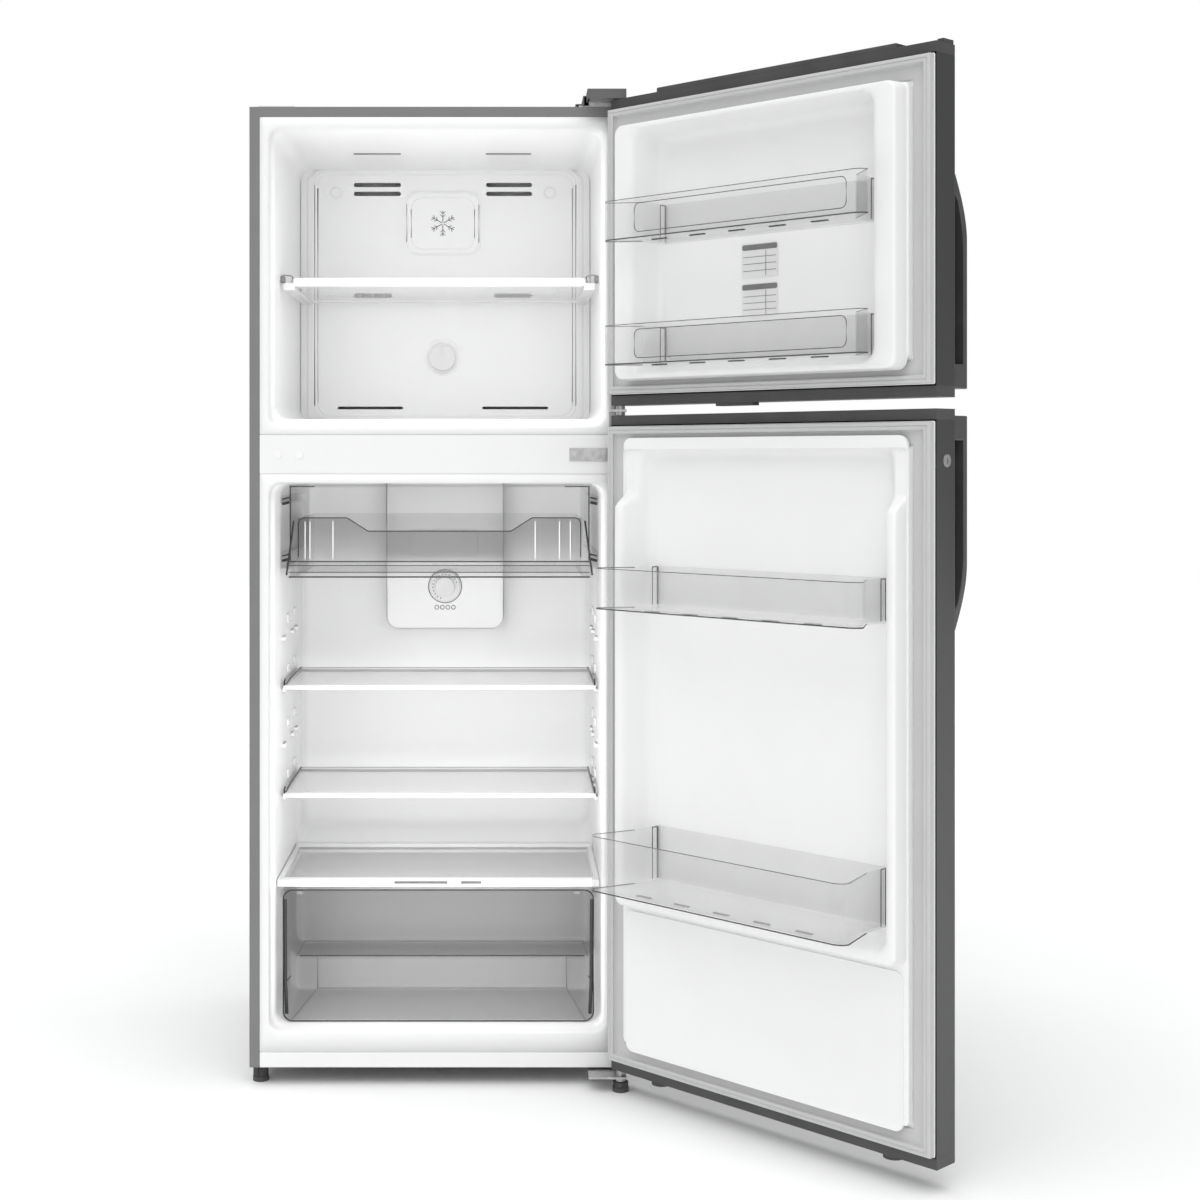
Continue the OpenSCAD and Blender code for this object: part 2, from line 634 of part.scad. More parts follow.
// Inner liner of a door: a sheet with a raised ring, and inside the ring a sunken panel
module door_liner(z0, z1, reach, recess) difference() {
    union() {
        along_y(door_back - skin, door_back) translate([-half + 2, z0 + 2]) square([cab_w - 4, z1 - z0 - 4]);
        difference() {
            dyke(z0, z1, reach, 0);
            block([-half, door_back - skin - 2, z0], [half, door_back - skin, z1]);
        }
        along_y(recess_floor - skin, door_back) recess_outline(recess, skin);
    }
    difference() {
        dyke(z0, z1, reach, -skin);
        along_y(recess_floor - skin - 1, door_back + dyke_h) recess_outline(recess, skin);
    }
    along_y(recess_floor, door_back + dyke_h + 1) recess_outline(recess, 0);
}
// Ledges on the recess's side walls that hold a bin
module bin_lugs(z, recess) intersection() {
    both_sides()
        block([recess[0] - 16, recess_floor - 0.5, z - 12], [recess[0] + 0.5, recess_floor + 20, z - slip]);
    along_y(recess_floor - 1, door_back + dyke_h) recess_outline(recess, 1);
}
// A frame outline that starts a given way in from a door's edges and is a given width across
module edge_frame(z0, z1, out, w, r) difference() {
    round_rect(-half + out, z0 + out, half - out, z1 - out, r);
    round_rect(-half + out + w, z0 + out + w, half - out - w, z1 - out - w, r);
}
module door_gasket(z0, z1) {
    along_y(door_back, door_back + 4) edge_frame(z0, z1, gasket_out + 1, gasket_w - 1, 5);
    along_y(door_back + 3, door_back + gasket_t) edge_frame(z0, z1, gasket_out, gasket_tube, 4);
}
// Plan of a door bin: narrow between the raised rings, flaring to rounded front corners
function bin_plan(b, g) = concat(
    [[b[0] - g, recess_floor + 0.5 + g], [b[0] + 2.5 - g, door_back + dyke_h + 1]],
    arc([b[1] - bin_r, b[2] - bin_r], bin_r - g, 10, 90),
    arc([-b[1] + bin_r, b[2] - bin_r], bin_r - g, 90, 170),
    [[-b[0] - 2.5 + g, door_back + dyke_h + 1], [-b[0] + g, recess_floor + 0.5 + g]]);
module door_bin(b, z) difference() {
    up(z, z + b[3]) polygon(bin_plan(b, 0));
    up(z + bin_wall, z + b[3] + 1) polygon(bin_plan(b, bin_wall));
}
// Side view of a handle: it stands proud at the foot end and runs out into the door at the other
handle_run = 95;
function handle_y(t, reach) = door_front - 0.01 - reach * sin(90 * t);
grip_y = 22;               // depth of the finger gap behind a handle
module handle(foot, tip) {
    s = sign(tip - foot);
    steps = 16;
    difference() {
        along_x(-half + 2, -half + 2 + handle_w) polygon(concat(
            [[door_front - 0.01, foot], [door_front - handle_reach, foot]],
            [for (i = [0:steps]) [handle_y(1 - i / steps, handle_reach),
                tip + s * handle_run * (i / steps - 1)]]));
        along_x(-half + 1, -half + 3 + handle_w) polygon(concat(
            [[door_front + 1, foot + s * 34], [door_front - grip_y, foot + s * 34]],
            [for (i = [0:steps - 4]) [handle_y(1 - i / steps, grip_y),
                tip + s * handle_run * (i / steps - 1.16)]],
            [[door_front + 1, tip - s * handle_run * 0.3]]));
    }
}

// Space inside each door's raised ring: [half width, bottom, top]
freezer_recess = [202, upper_low + 51, door_top - 62];
fridge_recess = [223, 328, lower_high - 52];
// Bottom and top of each ring's high part. The lower door's stops short of the bar.
freezer_reach = [upper_low + 38, door_top - 52];
fridge_reach = [314, fridge_high - 10];
freezer_bin_z = [1142, 1331];
fridge_bin_z = [771, 347];

module freezer_door_panel() color("#464646") on_door() door_panel(upper_low, door_top);
module freezer_door_foam() color("#e8d9a0") on_door()
    door_foam(upper_low, door_top, freezer_reach, freezer_recess);
module freezer_door_liner() color("#f4f4f4") on_door() {
    door_liner(upper_low, door_top, freezer_reach, freezer_recess);
    for (z = freezer_bin_z) bin_lugs(z, freezer_recess);
}
module freezer_door_gasket() color("#c4c5c7") on_door() door_gasket(upper_low, door_top);
module freezer_door_handle() color("#48494b") on_door() handle(upper_low + 12, upper_low + 310);
module freezer_door_caps() color("#3c3d3f") on_door() {
    difference() {
        union() {
            door_cap(door_top - cap_h, door_top);
            block([-235, door_front + 2, door_top - 1], [205, door_front + 13, door_top + 6]);
            block([-half + 3, door_front + 2, door_top - 1], [-half + 13, door_front + 26, door_top + 7]);
        }
        rod_z(door_top - cap_h - 1, door_top + 1, pivot, pin_r + fit);
    }
    difference() {
        union() {
            door_cap(upper_low, upper_low + cap_h);
            block([20, door_back - 22, upper_low - 5], [90, door_back - 6, upper_low + 1]);
        }
        rod_z(upper_low - 1, upper_low + cap_h + 1, pivot, pin_r + fit);
    }
}
module freezer_door_bins() color("#d5d9db", 0.5) on_door()
    for (z = freezer_bin_z) door_bin(top_bin, z);

module fridge_door_panel() color("#464646") on_door() difference() {
    door_panel(door_low, lower_high);
    rod_x(-half - 1, -half + 3, lock_at[0], lock_at[1], 9.3);
}
module fridge_door_foam() color("#e8d9a0") on_door() difference() {
    door_foam(door_low, lower_high, fridge_reach, fridge_recess);
    rod_x(-half - 1, -half + 24, lock_at[0], lock_at[1], 9.5);
}
module fridge_door_liner() color("#f4f4f4") on_door() {
    door_liner(door_low, lower_high, fridge_reach, fridge_recess);
    for (z = fridge_bin_z) bin_lugs(z, fridge_recess);
}
module fridge_door_gasket() color("#c4c5c7") on_door() door_gasket(door_low, lower_high);
module fridge_door_handle() color("#48494b") on_door() handle(lower_high - 9, lower_high - 307);
module fridge_door_caps() color("#3c3d3f") on_door() {
    difference() {
        door_cap(lower_high - cap_h, lower_high);
        rod_z(lower_high - cap_h - 1, lower_high + 1, pivot, pin_r + fit);
    }
    difference() {
        union() {
            door_cap(door_low, door_low + cap_h);
            for (x = [-215, 215]) rod_z(door_low - 9, door_low + 1, [x, (door_front + door_back) / 2], 15);
        }
        rod_z(door_low - 1, door_low + cap_h + 1, pivot, pin_r + fit);
    }
}
module fridge_door_bins() color("#d5d9db", 0.5) on_door() {
    door_bin(mid_bin, fridge_bin_z[0]);
    door_bin(low_bin, fridge_bin_z[1]);
}
lock_at = [door_back - 27, 997];
module lock_case() color("#5a5c5f") on_door() difference() {
    rod_x(-half - 0.8, -half + 22, lock_at[0], lock_at[1], 9);
    rod_x(-half - 2, -half + 20, lock_at[0], lock_at[1], 7 + fit);
}
module lock_barrel() color("#c9cccf") on_door() difference() {
    rod_x(-half - 1.6, -half + 19.5, lock_at[0], lock_at[1], 7);
    block([-half - 2, lock_at[0] - 1, lock_at[1] - 4], [-half + 6, lock_at[0] + 1, lock_at[1] + 4]);
}

cabinet_shell();
back_panel();
base_pan();
cabinet_foam();
freezer_liner();
fridge_liner();
mullion_cover();
blanking_caps();
plinth();
evaporator_cover();
evaporator_coil();
defrost_heater();
fan_motor();
fan_blade();
freezer_dial();
damper_flap();
freezer_shelf_glass();
freezer_shelf_trim();
duct_cover();
lamp_lens();
thermostat_dial();
chiller_hood();
chiller_drawer();
fridge_shelf_glasses();
fridge_shelf_trims();
crisper_cover_frame();
crisper_cover_glass();
humidity_slider();
crisper_drawer();
compressor();
compressor_mounts();
condenser_loop();
drain_pan();
compressor_cover();
cord_gland();
top_hinge();
hinge_cover();
middle_hinge();
bottom_hinge();
hinge_screws();
front_left_foot();
front_right_foot();
rear_left_roller();
rear_right_roller();
freezer_door_panel();
freezer_door_foam();
freezer_door_liner();
freezer_door_gasket();
freezer_door_handle();
freezer_door_caps();
freezer_door_bins();
fridge_door_panel();
fridge_door_foam();
fridge_door_liner();
fridge_door_gasket();
fridge_door_handle();
fridge_door_caps();
fridge_door_bins();
lock_case();
lock_barrel();
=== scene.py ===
"""Top freezer refrigerator: finishes, moulded liners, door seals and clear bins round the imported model.

Shapes are in the cabinet's own millimetres: X 0 in its middle, Y 0 on its front plane with +Y towards
the back, Z 0 on the floor. Doors are drawn shut, and to_row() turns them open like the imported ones.
"""
import json
import math

import bmesh
import bpy
from mathutils import Matrix, Vector


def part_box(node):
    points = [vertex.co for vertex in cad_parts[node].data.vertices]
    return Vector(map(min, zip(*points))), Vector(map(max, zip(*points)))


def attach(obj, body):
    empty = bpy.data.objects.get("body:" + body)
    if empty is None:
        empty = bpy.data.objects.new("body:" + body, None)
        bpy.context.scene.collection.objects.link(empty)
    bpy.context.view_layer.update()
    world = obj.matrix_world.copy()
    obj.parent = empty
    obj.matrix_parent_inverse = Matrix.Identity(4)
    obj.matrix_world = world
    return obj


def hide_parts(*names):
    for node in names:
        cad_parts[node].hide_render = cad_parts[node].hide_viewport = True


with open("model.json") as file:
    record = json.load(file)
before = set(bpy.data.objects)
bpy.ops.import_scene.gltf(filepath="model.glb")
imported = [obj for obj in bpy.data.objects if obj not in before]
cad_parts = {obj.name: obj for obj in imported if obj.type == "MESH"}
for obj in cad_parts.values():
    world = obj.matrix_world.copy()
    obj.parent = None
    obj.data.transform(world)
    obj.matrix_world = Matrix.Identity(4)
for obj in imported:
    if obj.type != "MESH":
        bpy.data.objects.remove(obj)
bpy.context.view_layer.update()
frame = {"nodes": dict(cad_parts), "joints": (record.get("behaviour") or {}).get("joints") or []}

# ---------------------------------------------------------------- places, some worked out from the frame and the rest given
MM = 0.001
shell_low, shell_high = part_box("cabinet_shell")
HALF = (shell_high.x - shell_low.x) / MM / 2
CABINET = Matrix.Translation(((shell_low.x + shell_high.x) / 2, shell_low.y, 0)) @ Matrix.Scale(MM, 4)
DOORS = ("freezer_door", "fridge_door")
hinge = next(j for j in frame["joints"] if j["name"] == "freezer_door_hinge")
PIVOT = Matrix.Translation(Vector(hinge["pos_m"]))
OPEN = PIVOT @ Matrix.Rotation(math.radians(-hinge["range_deg"][0]), 4, "Z") @ PIVOT.inverted()


def to_row(body):
    """The move from working millimetres to the row frame for pieces of that body."""
    return OPEN @ CABINET if body in DOORS else CABINET


def box_mm(node):
    """A cabinet node's lowest and highest corner in working millimetres."""
    back = CABINET.inverted()
    low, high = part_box(node)
    return back @ low, back @ high


def door_span(node):
    """Bottom and top of a door's node."""
    low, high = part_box(node)
    return low.z / MM, high.z / MM


SKIN = 2.0                                # thickness of the moulded liners
SEAL = 13.0                               # gap between a shut door and the cabinet
DOOR_BACK = -SEAL
RECESS_Y = DOOR_BACK - 15                 # floor of the sunken panel inside a door
FOOT_Y = DOOR_BACK + 10                   # top of the raised ring's low foot
RING_Y = DOOR_BACK + 37                   # top of the raised ring
FOOT_IN = 36                              # from a door's edge to the ring's foot
RING_HALF = HALF - 41.5                   # half width of the ring
MOUTH_HALF = 269                          # half width of both openings
ROOM_HALF = 263                           # half width of both compartments
FLANGE_HALF = HALF - 16.4                 # half width of both liners' front flanges
FREEZER_MOUTH = (1051, 1528)              # bottom and top of the upper opening
FRIDGE_MOUTH = (85, 962)                  # bottom and top of the lower opening
REST_LEVELS = (714, 628, 536, 449)        # levels on the side walls that take a shelf
SHELF_TOPS = (628, 449.5)                 # tops of the two glass shelves
UPPER = door_span("freezer_door_panel")
LOWER = door_span("fridge_door_panel")


# ---------------------------------------------------------------- mesh building
ARC_STEPS = 6
EASE_STEPS = 4


def arc(x, z, r, start, sweep=90, steps=ARC_STEPS):
    """Points round a centre, from the angle start and through sweep degrees."""
    turns = [math.radians(start + sweep * i / steps) for i in range(steps + 1)]
    return [(x + r * math.cos(t), z + r * math.sin(t)) for t in turns]


def rounded(x0, z0, x1, z1, r, cuts=()):
    """Rectangle with round corners, anticlockwise from its lower right. cuts add points up both sides."""
    levels = [min(max(z, z0 + r), z1 - r) for z in cuts]
    points = arc(x1 - r, z0 + r, r, -90) + [(x1, z) for z in levels] + arc(x1 - r, z1 - r, r, 0)
    points += arc(x0 + r, z1 - r, r, 90) + [(x0, z) for z in reversed(levels)] + arc(x0 + r, z0 + r, r, 180)
    return points


def part_way(here, other, reach):
    """The station that lies reach millimetres from here towards other, at most half way."""
    length = max(abs(a - b) for a, b in zip(here[:5], other[:5])) or 1
    t = min(reach / length, 0.5)
    return tuple(a + (b - a) * t for a, b in zip(here, other))


def eased(stations):
    """Rounds the path through stations (y, x0, z0, x1, z1, corner, bend). bend is how soft each turn is."""
    path = [stations[0][:6]]
    for before, here, after in zip(stations, stations[1:], stations[2:]):
        if not here[6]:
            path.append(here[:6])
            continue
        a, b = part_way(here, before, here[6]), part_way(here, after, here[6])
        for i in range(EASE_STEPS + 1):
            t = i / EASE_STEPS
            path.append(tuple((1 - t) ** 2 * p + 2 * t * (1 - t) * q + t * t * s
                              for p, q, s in zip(a[:6], here[:6], b[:6])))
    return path + [stations[-1][:6]]


class Form:
    """Points in working millimetres and faces, collected for one piece."""

    def __init__(self):
        self.points = []
        self.faces = []

    def loft(self, loops, wrap=False, first_cap=False, last_cap=False):
        """Joins each loop of points to the next one. wrap joins the last loop to the first."""
        start, n, rows = len(self.points), len(loops[0]), len(loops)
        for loop in loops:
            self.points += loop
        for i in range(rows if wrap else rows - 1):
            here, there = start + i * n, start + (i + 1) % rows * n
            for k in range(n):
                after = (k + 1) % n
                self.faces.append((here + k, here + after, there + after, there + k))
        if first_cap:
            self.faces.append(tuple(start + k for k in reversed(range(n))))
        if last_cap:
            self.faces.append(tuple(start + (rows - 1) * n + k for k in range(n)))
        return self

    def panel(self, stations, cuts=()):
        """A moulded sheet through the stations, closed over the last one."""
        path = eased(stations)
        loops = [[(x, y, z) for x, z in rounded(x0, z0, x1, z1, r, cuts)] for y, x0, z0, x1, z1, r in path]
        return self.loft(loops, last_cap=True)

    def slab(self, x0, z0, x1, z1, r, y0, y1, soft=0.8):
        """A flat rounded plate between two depths, its front edge (at y0) softened."""
        loops = []
        for y, inset in ((y1, 0), (y0 + soft, 0), (y0 + soft * 0.3, soft * 0.3), (y0, soft)):
            loops.append([(x, y, z) for x, z in
                          rounded(x0 + inset, z0 + inset, x1 - inset, z1 - inset, max(r - inset, 0.2))])
        return self.loft(loops, first_cap=True, last_cap=True)

    def block(self, low, high, soft=0.8):
        """A box with softened vertical corners and softened top and bottom edges."""
        loops = []
        for z, inset in ((low[2], soft), (low[2] + soft, 0), (high[2] - soft, 0), (high[2], soft)):
            loops.append([(x, y, z) for x, y in
                          rounded(low[0] + inset, low[1] + inset, high[0] - inset, high[1] - inset, soft)])
        return self.loft(loops, first_cap=True, last_cap=True)

    def band(self, x0, z0, x1, z1, r, profile):
        """A closed moulding round a rounded rectangle, through profile's steps of (inset, depth)."""
        loops = []
        for inset, y in profile:
            outline = rounded(x0 + inset, z0 + inset, x1 - inset, z1 - inset, max(r - inset, 0.3))
            loops.append([(x, y, z) for x, z in outline])
        return self.loft(loops, wrap=True)

    def rod(self, a, b, r, sides=16, soft=0.3):
        """A round bar from a to b with softened ends."""
        a, b = Vector(a), Vector(b)
        along = (b - a).normalized()
        turn = along.to_track_quat("Z", "Y").to_matrix()
        loops = []
        for p, size in ((a, r - soft), (a + along * soft, r), (b - along * soft, r), (b, r - soft)):
            loops.append([tuple(p + turn @ Vector((size * math.cos(t), size * math.sin(t), 0)))
                          for t in (math.tau * i / sides for i in range(sides))])
        return self.loft(loops, first_cap=True, last_cap=True)

    def bead(self, path, r, sides=8, wrap=False):
        """A thin round bead along a path."""
        points = [Vector(p) for p in path]
        loops = []
        for i, p in enumerate(points):
            before = points[i - 1] if wrap or i else p
            after = points[(i + 1) % len(points)] if wrap or i + 1 < len(points) else p
            turn = (after - before).to_track_quat("Z", "Y").to_matrix()
            loops.append([tuple(p + turn @ Vector((r * math.cos(t), r * math.sin(t), 0)))
                          for t in (math.tau * k / sides for k in range(sides))])
        return self.loft(loops, wrap=wrap, first_cap=not wrap, last_cap=not wrap)


def piece(name, form, material, body, stands_for=(), shell=0.0, sharp=38):
    """Makes a form into a piece of that body. shell thickens an open sheet away from its seen side."""
    mesh = bpy.data.meshes.new(name)
    move = to_row(body)
    mesh.from_pydata([move @ Vector(p) for p in form.points], [], form.faces)
    edit = bmesh.new()
    edit.from_mesh(mesh)
    bmesh.ops.remove_doubles(edit, verts=edit.verts, dist=1e-6)
    if not shell:
        bmesh.ops.recalc_face_normals(edit, faces=edit.faces)
    edit.to_mesh(mesh)
    edit.free()
    mesh.shade_smooth()
    mesh.set_sharp_from_angle(angle=math.radians(sharp))
    mesh.materials.append(material)
    made = bpy.data.objects.new(name, mesh)
    bpy.context.scene.collection.objects.link(made)
    if shell:
        wall = made.modifiers.new("wall", "SOLIDIFY")
        wall.thickness = shell * MM
        wall.offset = -1
    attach(made, body)
    if stands_for:
        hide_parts(*stands_for)


def dress(material, edge, *names):
    """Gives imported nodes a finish, and softens their edges by edge millimetres."""
    for name in names:
        node = frame["nodes"][name]
        node.data.materials.clear()
        node.data.materials.append(material)
        node.data.shade_smooth()
        weld = node.modifiers.new("weld", "WELD")
        weld.merge_threshold = 1e-5
        flat = node.modifiers.new("flat", "DECIMATE")
        flat.decimate_type = "DISSOLVE"
        flat.angle_limit = math.radians(1)
        if edge:
            soft = node.modifiers.new("edge", "BEVEL")
            soft.width = edge * MM
            soft.segments = 2
            soft.limit_method = "ANGLE"
            soft.angle_limit = math.radians(40)
        even = node.modifiers.new("even", "WEIGHTED_NORMAL")
        even.keep_sharp = True


# ---------------------------------------------------------------- finishes
def tone(level, warm=0.0):
    """Linear colour of a grey of that display level, from 0 to 255. warm shifts it to yellow, or blue."""
    v = level / 255
    v = v / 12.92 if v <= 0.04045 else ((v + 0.055) / 1.055) ** 2.4
    return (v * (1 + warm), v, v * (1 - warm), 1)


def new_material(name):
    """A material with its nodes, its links and its main shader."""
    made = bpy.data.materials.new(name)
    made.use_nodes = True
    return made, made.node_tree.nodes, made.node_tree.links, made.node_tree.nodes["Principled BSDF"]


def noise(nodes, links, size, stretch=(1, 1, 1), detail=3):
    """Noise with features of about size millimetres, in the piece's own coordinates."""
    where = nodes.new("ShaderNodeTexCoord")
    scale = nodes.new("ShaderNodeMapping")
    scale.inputs["Scale"].default_value = stretch
    made = nodes.new("ShaderNodeTexNoise")
    made.inputs["Scale"].default_value = 1 / (size * MM)
    made.inputs["Detail"].default_value = detail
    links.new(where.outputs["Object"], scale.inputs["Vector"])
    links.new(scale.outputs["Vector"], made.inputs["Vector"])
    return made.outputs["Fac"]


def vary(nodes, links, fac, low, high):
    """Noise mapped to run from low to high."""
    made = nodes.new("ShaderNodeMapRange")
    made.inputs["From Min"].default_value = 0.3
    made.inputs["From Max"].default_value = 0.7
    made.inputs["To Min"].default_value = low
    made.inputs["To Max"].default_value = high
    links.new(fac, made.inputs["Value"])
    return made.outputs["Result"]


def tinted(nodes, links, fac, dark, light):
    """Colour that runs from dark to light with a noise."""
    made = nodes.new("ShaderNodeValToRGB")
    made.color_ramp.elements[0].position = 0.3
    made.color_ramp.elements[0].color = dark
    made.color_ramp.elements[1].position = 0.7
    made.color_ramp.elements[1].color = light
    links.new(fac, made.inputs["Fac"])
    return made.outputs["Color"]


def relief(nodes, links, shader, fac, height_mm):
    """Turns a noise into a fine unevenness of the surface."""
    made = nodes.new("ShaderNodeBump")
    made.inputs["Distance"].default_value = height_mm * MM
    made.inputs["Strength"].default_value = 1
    links.new(fac, made.inputs["Height"])
    links.new(made.outputs["Normal"], shader.inputs["Normal"])


def surface(name, level, rough, warm=0.0, spread=4, blotch=60, grain=1.2, depth=0.02, stretch=(1, 1, 1),
            metal=0.0, coat=0.0):
    """A solid finish: slow tone variation, uneven gloss and a fine grain."""
    made, nodes, links, shader = new_material(name)
    slow = noise(nodes, links, blotch, stretch)
    fine = noise(nodes, links, grain, stretch, 5)
    links.new(tinted(nodes, links, slow, tone(level - spread, warm), tone(level + spread, warm)),
              shader.inputs["Base Color"])
    links.new(vary(nodes, links, slow, rough - 0.015, rough + 0.015), shader.inputs["Roughness"])
    relief(nodes, links, shader, fine, depth)
    shader.inputs["Metallic"].default_value = metal
    shader.inputs["Coat Weight"].default_value = coat
    shader.inputs["Coat Roughness"].default_value = 0.15
    return made


def clear(name, tint, level, face, edge, rough=0.08):
    """Clear moulding: almost see-through face on, and closer to solid towards its edges."""
    made, nodes, links, shader = new_material(name)
    slow = noise(nodes, links, 45)
    links.new(tinted(nodes, links, slow, tone(level - 6), tone(level + 4)), shader.inputs["Base Color"])
    links.new(vary(nodes, links, slow, rough, rough + 0.06), shader.inputs["Roughness"])
    through = nodes.new("ShaderNodeBsdfTransparent")
    through.inputs["Color"].default_value = tone(tint)
    rim = nodes.new("ShaderNodeLayerWeight")
    rim.inputs["Blend"].default_value = 0.35
    amount = nodes.new("ShaderNodeMapRange")
    amount.inputs["To Min"].default_value = face
    amount.inputs["To Max"].default_value = edge
    blend = nodes.new("ShaderNodeMixShader")
    links.new(rim.outputs["Facing"], amount.inputs["Value"])
    links.new(amount.outputs["Result"], blend.inputs["Fac"])
    links.new(through.outputs["BSDF"], blend.inputs[1])
    links.new(shader.outputs["BSDF"], blend.inputs[2])
    links.new(blend.outputs["Shader"], nodes["Material Output"].inputs["Surface"])
    return made


BRUSHED = (1, 1, 0.02)
LINER = surface("liner_white", 244, 0.32, spread=0.7, blotch=120, grain=2.5, depth=0.015)
DOOR_LINER = surface("door_liner_white", 243, 0.34, spread=0.7, blotch=90, grain=3.0, depth=0.02)
WHITE = surface("moulded_white", 243, 0.36, spread=0.7, grain=0.9, depth=0.012)
PALE = surface("moulded_pale", 228, 0.38, spread=3, grain=0.9, depth=0.012)
CABINET_PAINT = surface("cabinet_paint", 122, 0.42, spread=1.5, grain=1.0, depth=0.03, coat=0.2)
RIM_PAINT = surface("mullion_paint", 240, 0.3, spread=0.7, grain=1.0, depth=0.02, coat=0.3)
DOOR_STEEL = surface("door_steel_dark", 78, 0.36, spread=2, blotch=30, grain=0.6, depth=0.02,
                     stretch=BRUSHED, metal=0.55, coat=0.15)
CAP_DARK = surface("cap_dark", 72, 0.45, spread=4, grain=0.7, depth=0.02)
HANDLE = surface("handle_dark", 84, 0.33, spread=4, blotch=25, grain=0.6, depth=0.015, metal=0.4, coat=0.2)
GASKET = surface("gasket_grey", 196, 0.5, spread=1.5, blotch=60, grain=0.6, depth=0.006)
# Grey for the painted shadow line round the duct cover's edge.
DUCT_SHADOW_GREY = surface("duct_cover_painted_shadow", 196, 0.34, spread=4, grain=0.8, depth=0.01)
LINE_GREY = surface("line_grey", 120, 0.35, spread=5, grain=0.8, depth=0.01)
# Near black for the lines where clear plastic and glass look dark at their edges: painted shade.
EDGE_SHADE = surface("clear_edge_painted_shade", 28, 0.3, spread=6, blotch=25, grain=0.8, depth=0.01)
# Mid grey for the freezer shelf clips, and painted shade for the fainter edges inside the clear crisper.
EDGE_SOFT = surface("clear_edge_soft", 138, 0.3, spread=6, blotch=25, grain=0.8, depth=0.01)
ZINC = surface("zinc", 185, 0.34, spread=12, blotch=9, grain=0.5, depth=0.01, metal=0.9)
STEEL_GREY = surface("rear_steel", 165, 0.42, spread=2, blotch=90, grain=0.9, depth=0.02, metal=0.6)
BLACK_PAINT = surface("compressor_black", 40, 0.38, spread=6, blotch=20, grain=0.8, depth=0.03, coat=0.3)
RUBBER = surface("rubber_black", 38, 0.7, spread=5, grain=0.5, depth=0.03)
COPPER = surface("copper", 168, 0.32, warm=0.42, spread=14, blotch=15, grain=0.6, depth=0.01, metal=0.95)
ALUMINIUM = surface("aluminium", 205, 0.32, spread=8, blotch=12, grain=0.5, depth=0.01, metal=0.9)
BOARD = surface("cover_board", 90, 0.6, spread=6, blotch=14, grain=0.7, depth=0.04)
HINGE_COVER = surface("hinge_cover_dark", 96, 0.4, spread=5, grain=0.7, depth=0.02)
CLEAR = clear("bin_clear", 254, 222, 0.03, 0.42)
# Part-clear grey for the bins' feet and end brackets, and painted shade for the dark top and bottom edges of
# their clear walls and the raised lines on their fronts.
CLEAR_EDGE = clear("bin_edge", 180, 88, 0.55, 0.88)
SMOKE = clear("drawer_clear", 254, 196, 0.025, 0.24)
GLASS = clear("shelf_glass", 254, 240, 0.04, 0.4, rough=0.03)
LENS = surface("lens_frosted", 246, 0.4, spread=1, blotch=14, grain=0.5, depth=0.005)


# ---------------------------------------------------------------- liners of the cabinet
def freezer_room():
    """The upper liner: flange, straight mouth, and a room that narrows a little towards the back."""
    low, high = FREEZER_MOUTH
    room = Form().panel([
        (0, -FLANGE_HALF, low - 12.6, FLANGE_HALF, high + 17.6, 2, 0),
        (0, -MOUTH_HALF, low, MOUTH_HALF, high, 21, 4),
        (20, -MOUTH_HALF + 1, low + 1, MOUTH_HALF - 1, high - 1, 21, 3),
        (32, -ROOM_HALF, low + 13, ROOM_HALF, high - 2, 22, 7),
        (465, -ROOM_HALF + 0.5, low + 15, ROOM_HALF - 0.5, high - 6, 24, 22),
        (465, -160, low + 120, 160, high - 110, 20, 0),
    ])
    piece("freezer_room", room, LINER, "cabinet", ["freezer_liner", "cabinet_foam"], SKIN)


def fridge_room():
    """The lower liner, whose floor steps up in front of and over the compressor."""
    low, high = FRIDGE_MOUTH
    floor_z, step_z, rear_z = low + 1, low + 55, low + 231
    room = Form().panel([
        (0, -FLANGE_HALF, low - 32.6, FLANGE_HALF, high + 13.6, 2, 0),
        (0, -MOUTH_HALF, low, MOUTH_HALF, high, 21, 4),
        (20, -MOUTH_HALF + 1, low + 1, MOUTH_HALF - 1, high - 1, 21, 3),
        (30, -ROOM_HALF, floor_z, ROOM_HALF, high - 2, 22, 7),
        (245, -ROOM_HALF, floor_z, ROOM_HALF, high - 2, 22, 8),
        (249, -ROOM_HALF, step_z, ROOM_HALF, high - 2, 22, 8),
        (345, -ROOM_HALF, step_z + 1, ROOM_HALF, high - 2, 22, 10),
        (352, -ROOM_HALF, rear_z, ROOM_HALF, high - 2, 22, 12),
        (455, -ROOM_HALF, rear_z + 16, ROOM_HALF, high - 3, 24, 22),
        (455, -160, 450, 160, 850, 20, 0),
    ])
    piece("fridge_room", room, LINER, "cabinet", ["fridge_liner"], SKIN)


def wall_span(side, reach):
    """X range of a lug that stands reach millimetres off one side wall."""
    return sorted((side * (ROOM_HALF - reach), side * (ROOM_HALF + 0.5)))


def shelf_rests():
    """Three lugs under each shelf level and two over it, and a bead up each rear corner."""
    rests = Form()
    for side in (-1, 1):
        x0, x1 = wall_span(side, 6)
        thin0, thin1 = wall_span(side, 3)
        for level in REST_LEVELS:
            for y0, y1, drop in ((128, 158, 13), (250, 276, 12), (312, 336, 11)):
                rests.block((x0, y0, level - drop - 5), (x1, y1, level - drop + 3), 2)
            for y0, y1, rise in ((196, 226, 14), (292, 322, 18)):
                rests.block((thin0, y0, level + rise - 6), (thin1, y1, level + rise + 8), 2.5)
        corner = side * (ROOM_HALF - 1.5)
        rests.bead([(corner, 446, 360), (corner, 446, 940)], 2.2)
    piece("shelf_rests", rests, LINER, "cabinet")


